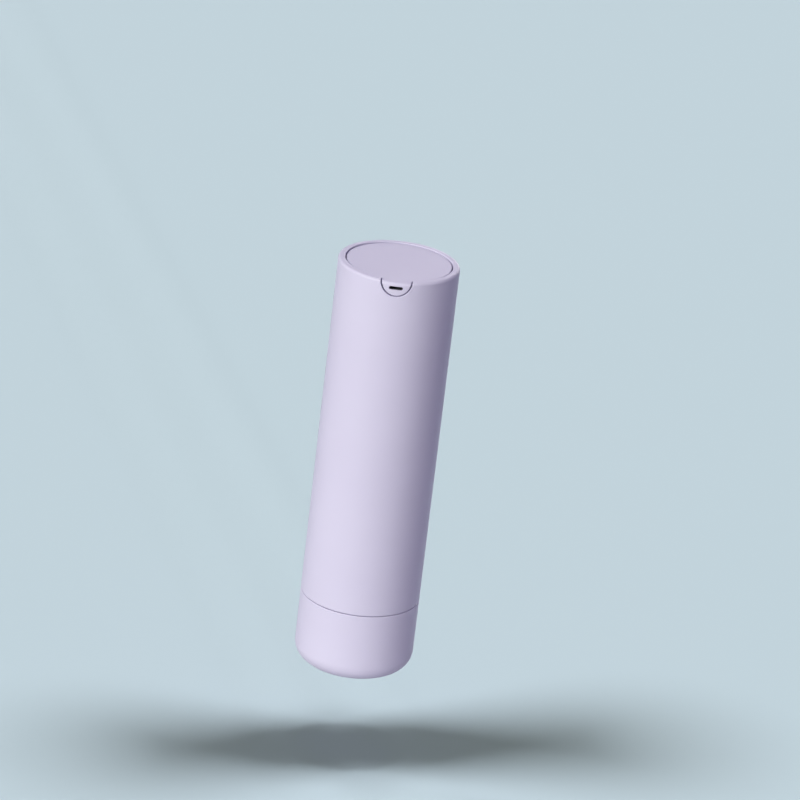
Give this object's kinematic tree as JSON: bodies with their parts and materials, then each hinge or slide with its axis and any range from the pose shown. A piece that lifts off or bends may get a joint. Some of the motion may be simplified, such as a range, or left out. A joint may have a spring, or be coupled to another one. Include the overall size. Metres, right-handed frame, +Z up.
{
  "type": "airless pump bottle",
  "caption": "Slim round twist-up airless pump bottle: rounded base, long sleeve, flush press button with a front slot outlet, refill cartridge inside.",
  "frame": {"origin": "centre of the base's flat underside, on the bottle's axis", "axes": "+Z up along the bottle's axis, -Y towards the outlet slot, +X to the right seen from the outlet"},
  "size_m": [0.038, 0.038, 0.137],
  "materials": {
    "shell": "soft satin lilac",
    "button": "soft satin lilac",
    "white": "plain moulded white",
    "natural": "natural polypropylene, slightly milky",
    "charcoal": "dark moulded insert",
    "elastomer": "matt soft seal",
    "steel": "bright stainless"
  },
  "bodies": {
    "base": {"base_cap": "shell", "cam_tube": "white", "friction_ring": "elastomer"},
    "sleeve": {"outer_sleeve": "shell"},
    "carriage": {"carrier": "white", "cartridge": "natural", "cartridge_plug": "white", "pump_housing": "natural", "ball_retainer": "natural", "neck_gasket": "elastomer", "stem_bushing": "white", "pump_closure": "white", "return_spring": "steel"},
    "follower": {"follower_piston": "white"},
    "ball": {"inlet_ball": "steel"},
    "button": {"button_cap": "button", "button_core": "charcoal", "stem": "natural", "stem_foot": "white", "pump_piston": "natural"}
  },
  "joints": [
    {"name": "sleeve_twist", "type": "hinge", "parent": "base", "child": "sleeve", "pos_m": [0, 0, 0], "axis": [0, 0, 1], "range_deg": [0, 90]},
    {"name": "carriage_lift", "type": "slide", "parent": "sleeve", "child": "carriage", "axis": [0, 0, 1], "range_m": [0, 0.0025]},
    {"name": "button_stroke", "type": "slide", "parent": "carriage", "child": "button", "axis": [0, 0, 1], "range_m": [0, 0.003], "deforming": ["return_spring"]},
    {"name": "follower_rise", "type": "slide", "parent": "carriage", "child": "follower", "axis": [0, 0, 1], "range_m": [0, 0.0906]},
    {"name": "inlet_ball_lift", "type": "slide", "parent": "carriage", "child": "ball", "axis": [0, 0, 1], "range_m": [0, 0.00085]}
  ],
  "couplings": [
    {"joint": "carriage_lift", "follows": "sleeve_twist", "m_per_rad": 0.0015915}
  ]
}
